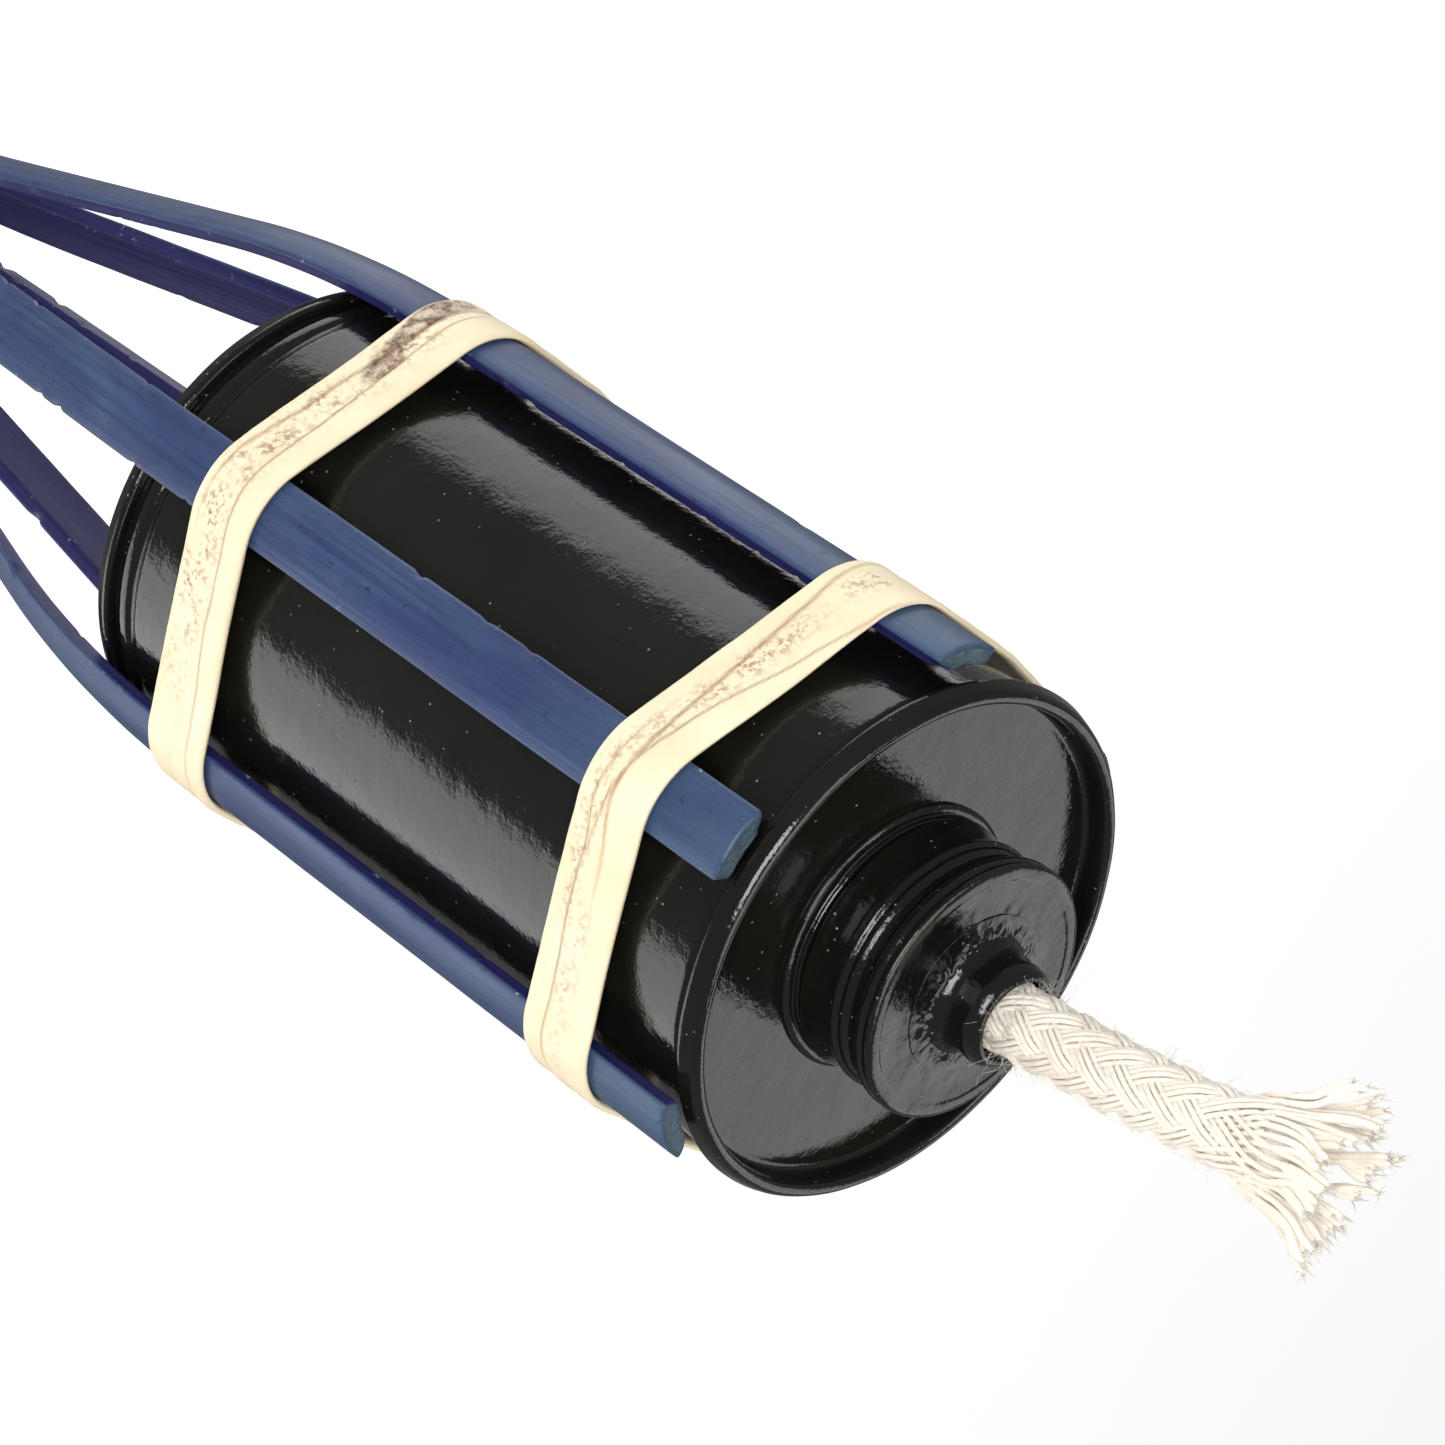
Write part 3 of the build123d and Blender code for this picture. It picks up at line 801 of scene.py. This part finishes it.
def loop_path(inside, steps_on_corner=22, steps_on_run=36):
    """Points and outward directions of the loop round the six slats, at that distance from their axes."""
    stands = [(SHIFT + EXTRA[n], n * 60.0 - 90.0 + SPLAY[n]) for n in range(SLAT_COUNT)]
    corners = []
    for number, (away, angle) in enumerate(stands):
        wide = (stands[(number + 1) % SLAT_COUNT][1] - angle) % 360.0
        places = [(away, angle)] + ([(WIDE_RUN, angle + wide / 2)] if wide > 61.0 else [])
        corners += [r * np.array((math.cos(math.radians(a)), math.sin(math.radians(a)))) for r, a in places]
    looks = []
    for here, there in zip(corners, corners[1:] + corners[:1]):
        looks.append(math.atan2(*(there - here)[::-1]) - math.pi / 2)
    rows = []
    for number, here in enumerate(corners):
        first = looks[number - 1]
        turn = (looks[number] - first) % (2 * math.pi)
        for a in first + turn * np.linspace(0, 1, steps_on_corner):
            rows.append((here + inside * np.array((math.cos(a), math.sin(a))), a))
        there = corners[(number + 1) % len(corners)]
        a = looks[number]
        offset = inside * np.array((math.cos(a), math.sin(a)))
        for share in np.linspace(0, 1, steps_on_run)[1:-1]:
            rows.append((here + (there - here) * share + offset, a))
    return rows


def gap(angle, middle):
    """Signed difference between two angles in degrees."""
    return (angle - middle + 180.0) % 360.0 - 180.0


def patches(polar, across, spots):
    """How strongly a place on a band lies in soft spots (angle, reach, place across, width, strength)."""
    return sum(strength * math.exp(-(gap(polar, angle) / reach) ** 2 - ((across - place) / width) ** 2)
               for angle, reach, place, width, strength in spots)


def band(name, node, height, folds, dirt, stains, skew, seed):
    """A wide rubber band, folded on itself along wandering creases, with a mark for the painted shade along
    them.
    """
    rows = loop_path(POLE + BAND_GAP)
    outer_w = np.linspace(-1, 1, 33)
    inner_w = np.linspace(1, -1, 9)
    points, grime, stain, crease_shade = [], [], [], []
    for point, direction in rows:
        polar = math.degrees(math.atan2(point[1], point[0]))
        normal = np.array((math.cos(direction), math.sin(direction)))
        half = BAND_HALF_WIDTH - 0.35 + 0.3 * wave((point[0], point[1], 0), 17.0, seed)
        lift = skew[0] * math.cos(math.radians(polar - skew[1]))
        lift += 0.25 * wave((point[0], point[1], 5), 12.0, seed)
        for w in outer_w:
            thick = 0.98
            line = 0.0
            for at, slope, size, centre, reach in folds:
                off = gap(polar, centre)
                live = math.exp(-(off / reach) ** 4)
                place = at + slope * off / 30.0 + 0.10 * wave((point[0], point[1], at * 9), 9.0, seed)
                thick += size * live / (1 + math.exp(-(w - place) * 38.0))
                # line carries the painted shade along each crease, handed to the material as the crease mark.
                line = max(line, live * math.exp(-((w - place) / 0.045) ** 2))
            rim = max(0.0, abs(w) - 0.88) / 0.12
            thick -= 0.42 * rim * rim
            thick += 0.07 * wave((point[0] * 0.6, point[1] * 0.6, w * 9), 1.7, seed)
            thick += 0.05 * wave((point[0], point[1], w * 30), 3.0, seed)
            thick = min(thick, 1.62)
            spot = point + normal * thick
            points.append((spot[0], spot[1], height + lift + w * half))
            grime.append(patches(polar, w, dirt))
            stain.append(patches(polar, w, stains))
            crease_shade.append(line)
        for w in inner_w:
            rim = max(0.0, abs(w) - 0.8) / 0.2
            spot = point + normal * 0.3 * rim
            points.append((spot[0], spot[1], height + lift + w * (half - 0.05)))
            grime.append(0.15)
            stain.append(0.0)
            crease_shade.append(0.0)
    faces = ring_faces(len(rows), len(outer_w) + len(inner_w), closed=True)
    marks = {"grime": np.clip(grime, 0, 1), "stain": np.clip(stain, 0, 1), "crease_shade": np.clip(crease_shade, 0, 1)}
    make_piece(name, points, faces, LATEX, "torch_frame", [node], marks)


# Folds: place across the width, drift, height of the ledge, angle, reach.
# Dirt and stains: angle, reach, place across the width, width, strength. Skew: amount, angle.
band("band_low", "lower_band", LOWER_BAND,
     folds=[(0.25, 0.10, 0.30, -100.0, 75.0), (-0.45, -0.20, -0.16, -125.0, 40.0),
            (-0.2, 0.15, 0.22, 80.0, 80.0)],
     dirt=[(-120.0, 32.0, -0.2, 0.55, 1.0), (-72.0, 28.0, -0.35, 0.5, 0.9),
           (60.0, 60.0, 0.3, 0.4, 0.7), (160.0, 40.0, -0.4, 0.4, 0.6)],
     stains=[(-147.0, 9.0, -0.62, 0.32, 1.0), (-129.0, 6.0, -0.1, 0.30, 0.95),
             (-138.0, 9.0, -0.5, 0.22, 0.8), (100.0, 8.0, 0.7, 0.25, 0.7)],
     skew=(0.5, -60.0), seed=4.0)
band("band_high", "upper_band", UPPER_BAND,
     folds=[(0.30, -0.55, 0.26, -108.0, 42.0), (-0.25, 0.35, -0.18, -112.0, 45.0),
            (-0.35, 0.10, 0.25, -62.0, 38.0), (0.1, 0.2, 0.25, 90.0, 80.0)],
     dirt=[(-118.0, 22.0, -0.1, 0.35, 0.8), (-75.0, 22.0, -0.45, 0.35, 0.8),
           (-50.0, 14.0, 0.1, 0.35, 0.6), (-150.0, 12.0, -0.1, 0.4, 0.5), (80.0, 70.0, 0.2, 0.4, 0.6)],
     stains=[(120.0, 6.0, -0.6, 0.2, 0.6)],
     skew=(0.7, 150.0), seed=9.0)


# ---------------------------------------------------------------- canister

def turned(name, node, corners, base, material, body, turns=192, reach=1.6,
           tremble=(9.0, 0.05), change=None):
    """A turned piece from an outline (radius, height above the base, rounding)."""
    line = rounded(corners, reach)
    line[:, 1] += base
    points, faces = lathe(line, turns)
    if change is not None:
        points = change(points)
    points = shaken(points, tremble[0], tremble[1], base * 0.01 + turns)
    return make_piece(name, points, faces, material, body, [node])


SHEET = 0.4
BODY_OUT = [(33.4, 0.9, 0.2), (33.4, 4.1, 0.5), (33.8, 4.7, 0.5), (33.85, 5.4, 0.4), (33.8, 6.1, 0.5),
            (33.35, 6.7, 0.5), (33.35, 7.3, 0.5), (33.8, 8.1, 0.6), (33.8, 115.1, 0.5), (33.4, 116.0, 0.5),
            (33.4, 118.7, 0.1)]
turned("can_side", "canister_body", BODY_OUT + [(r - SHEET, h, s) for r, h, s in reversed(BODY_OUT)], FOOT,
       TIN, "canister", turns=240, reach=2.4, tremble=(11.0, 0.035))


def can_end(name, node, base, way, rim, hole):
    """A pressed end with its double seam, facing down (way 1) or up (way -1)."""
    corners = [(33.45, 0.5, 0.1), (33.45, 3.1, 0.15), (rim - 0.35, 3.1, 0.35), (rim, 2.75, 0.35),
               (rim, 2.3, 0.4), (rim - 0.55, 0.6, 0.8), (rim - 1.25, 0.0, 0.7), (32.75, 0.25, 0.6),
               (32.5, 1.2, 0.5), (32.5, 3.8, 0.9), (hole, 3.8, 0.1), (hole, 4.2, 0.1), (32.95, 4.2, 0.3),
               (32.95, 0.5, 0.1)]

    def dish(points):
        for p in points:
            radius = math.hypot(p[0], p[1])
            depth = way * (p[2] - base)
            if radius < 32.0 and depth > 3.0:
                groove = 0.22 * math.exp(-((radius - 27.5) / 1.1) ** 2) * (hole < 1.0)
                p[2] -= way * (groove + 0.06 * wave(p, 10.0, 2.0) * min(1, (radius - hole) / 3))
        return points

    turned(name, node, [(r, way * h, s) for r, h, s in corners], base, TIN, "canister",
           turns=240, reach=1.3, tremble=(7.0, 0.06), change=dish)


can_end("can_foot", "canister_bottom", FOOT, 1, 34.8, 0.05)
can_end("can_lid", "canister_top", TOP, -1, 35.0, 14.1)
turned("collar_ring", "neck_collar",
       [(14.2, 0.0, 0.1), (17.9, 0.0, 0.1), (17.9, 0.45, 0.3), (17.2, 0.75, 0.3), (16.7, 0.8, 0.2),
        (16.5, 1.5, 0.4), (14.2, 1.5, 0.2)],
       PANEL, TIN, "canister", reach=0.8, tremble=(4.0, 0.08))


THREAD_FOOT = 4.4
THREAD_PITCH = 3.0


def threaded(points):
    """A rolled thread of two turns on the neck."""
    for p in points:
        radius = math.hypot(p[0], p[1])
        height = p[2] - PANEL
        if radius < 13.7 or not 2.5 < height < 12.1:
            continue
        turn = (math.atan2(p[1], p[0]) / (2 * math.pi)) % 1.0
        for lap in range(3):
            centre = THREAD_FOOT + THREAD_PITCH * (turn + lap)
            fade = min(1.0, max(0.0, (centre - 4.0) / 1.0), max(0.0, (11.0 - centre) / 1.0))
            swell = 0.68 * fade * max(0.0, 1 - ((height - centre) / 0.95) ** 2)
            p[:2] *= (radius + swell) / radius
    return points


turned("neck_tube", "filler_neck",
       [(13.2, -0.9, 0.1), (16.0, -0.9, 0.1), (16.0, -0.5, 0.1), (14.0, -0.5, 0.1), (14.0, 12.3, 0.1),
        (14.7, 12.35, 0.15), (14.7, 12.7, 0.2), (13.2, 12.7, 0.2)],
       PANEL, TIN, "canister", reach=0.22, tremble=(5.0, 0.02), change=threaded)
turned("seal_ring", "cap_seal", [(12.4, 0.0, 0.15), (15.0, 0.0, 0.15), (15.0, 1.0, 0.15), (12.4, 1.0, 0.15)],
       PANEL + 12.8, RUBBER, "seal", reach=0.6, tremble=(4.0, 0.02))


def dented(points):
    """Small dimples and a slight dish on the cap's pressed top."""
    for p in points:
        radius = math.hypot(p[0], p[1])
        if p[2] > PANEL + 14.0 and 7.0 < radius < 16.8:
            near = math.exp(-((radius - 10.5) / 2.2) ** 2)
            dip = -0.10 * math.exp(-((radius - 12.5) / 2.0) ** 2)
            p[2] += dip + 0.10 * near * wave(p, 1.5, 5.0) + 0.05 * wave(p, 3.5, 1.0)
    return points


turned("cap_body", "cap_shell",
       [(16.5, 2.2, 0.1), (17.0, 2.2, 0.25), (16.55, 3.6, 0.8), (16.3, 5.0, 0.9), (16.3, 6.5, 0.5),
        (16.9, 7.7, 0.35), (16.25, 8.3, 0.25), (16.5, 8.9, 0.25), (15.9, 9.9, 0.7), (16.3, 11.0, 0.4),
        (17.05, 11.7, 0.6), (17.2, 12.5, 0.6), (16.85, 13.2, 0.3), (17.2, 13.65, 0.3), (17.15, 14.15, 0.35),
        (16.5, 14.45, 0.5), (15.4, 14.45, 0.4), (15.1, 14.36, 0.3), (6.2, 14.36, 0.1), (6.2, 13.95, 0.1),
        (15.35, 13.95, 0.3), (15.35, 5.0, 0.6)],
       PANEL, CAP, "cap", turns=256, reach=0.45, tremble=(4.5, 0.05), change=dented)


CAP_TOP = 14.45         # height of the cap's top above the panel


def crimped(points):
    """Puckers the nozzle's flange where it's pressed on the cap."""
    for p in points:
        radius = math.hypot(p[0], p[1])
        rise = p[2] - PANEL - CAP_TOP
        if radius > 6.9 and -0.06 < rise < 2.0:
            angle = math.atan2(p[1], p[0])
            share = min(1.0, (radius - 6.9) / 0.9) * min(1.0, max(0.0, (10.7 - radius) / 2.0))
            pleat = wave((math.cos(angle) * 14, math.sin(angle) * 14, radius * 0.8), 1.1, 3.0)
            p[2] += share * (0.15 * pleat + 0.13 * wave(p, 0.8, 9.0))
    return points


turned("nozzle", "wick_holder",
       [(5.2, 8.2, 0.1), (6.0, 8.2, 0.1), (6.0, 14.4, 0.1), (10.6, 14.3, 0.05), (10.6, 14.42, 0.05),
        (9.0, 14.62, 0.8), (7.6, 15.0, 1.0), (6.9, 15.9, 0.9), (6.55, 17.2, 0.8), (6.75, 18.4, 0.7),
        (6.95, 19.6, 0.8), (6.5, 20.8, 0.7), (5.8, 21.45, 0.4), (5.2, 21.3, 0.2)],
       PANEL, CAP, "cap", turns=256, reach=0.32, tremble=(2.6, 0.07), change=crimped)


# ---------------------------------------------------------------- studio

def softbox(name, place, aim, size, radiance):
    """A rectangular area light that the camera doesn't see, sized in metres."""
    light = bpy.data.lights.new(name, "AREA")
    light.shape = "RECTANGLE"
    light.size, light.size_y = size
    light.energy = radiance * 4 * size[0] * size[1]
    lamp = bpy.data.objects.new(name, light)
    lamp.location = place
    lamp.rotation_euler = (Vector(aim) - Vector(place)).to_track_quat("-Z", "Y").to_euler()
    lamp.visible_camera = False
    bpy.context.scene.collection.objects.link(lamp)


CAN = (0.0, 0.0, 0.84)
softbox("front_box", (0.12, -1.45, 1.90), CAN, (1.0, 0.9), 8.0)
softbox("overhead", (0.0, 0.0, 2.5), CAN, (1.5, 1.1), 2.2)
softbox("back_box", (0.03, 1.05, 1.52), CAN, (0.95, 0.6), 1.15)
softbox("left_box", (-0.70, 0.05, 0.26), CAN, (0.80, 0.60), 1.4)
softbox("right_box", (0.67, -0.17, 0.26), CAN, (0.60, 0.60), 1.7)

world = bpy.data.worlds.new("studio")
world.use_nodes = True
bpy.context.scene.world = world
tree = world.node_tree
dim = tree.nodes["Background"]
dim.inputs["Color"].default_value = (1.0, 1.0, 1.0, 1.0)
dim.inputs["Strength"].default_value = 0.22
pale = tree.nodes.new("ShaderNodeBackground")
pale.inputs["Color"].default_value = (1.0, 1.0, 1.0, 1.0)
pale.inputs["Strength"].default_value = 0.95
seen = tree.nodes.new("ShaderNodeLightPath")
blend = tree.nodes.new("ShaderNodeMixShader")
tree.links.new(seen.outputs["Is Camera Ray"], blend.inputs[0])
tree.links.new(dim.outputs[0], blend.inputs[1])
tree.links.new(pale.outputs[0], blend.inputs[2])
tree.links.new(blend.outputs[0], tree.nodes["World Output"].inputs["Surface"])

FLOOR_REACH = 30.0
FLOOR_CELLS = 24
across = FLOOR_CELLS + 1
ticks = np.linspace(-FLOOR_REACH, FLOOR_REACH, across)
floor_mesh = bpy.data.meshes.new("floor")
floor_mesh.from_pydata([(x, y, 0.0) for y in ticks for x in ticks], [],
                       [(r * across + c, r * across + c + 1, (r + 1) * across + c + 1, (r + 1) * across + c)
                        for r in range(FLOOR_CELLS) for c in range(FLOOR_CELLS)])
floor_mesh.materials.append(ground("pale_floor"))
floor = bpy.data.objects.new("floor", floor_mesh)
floor.visible_glossy = False
bpy.context.scene.collection.objects.link(floor)
bpy.context.scene.view_settings.view_transform = "Standard"
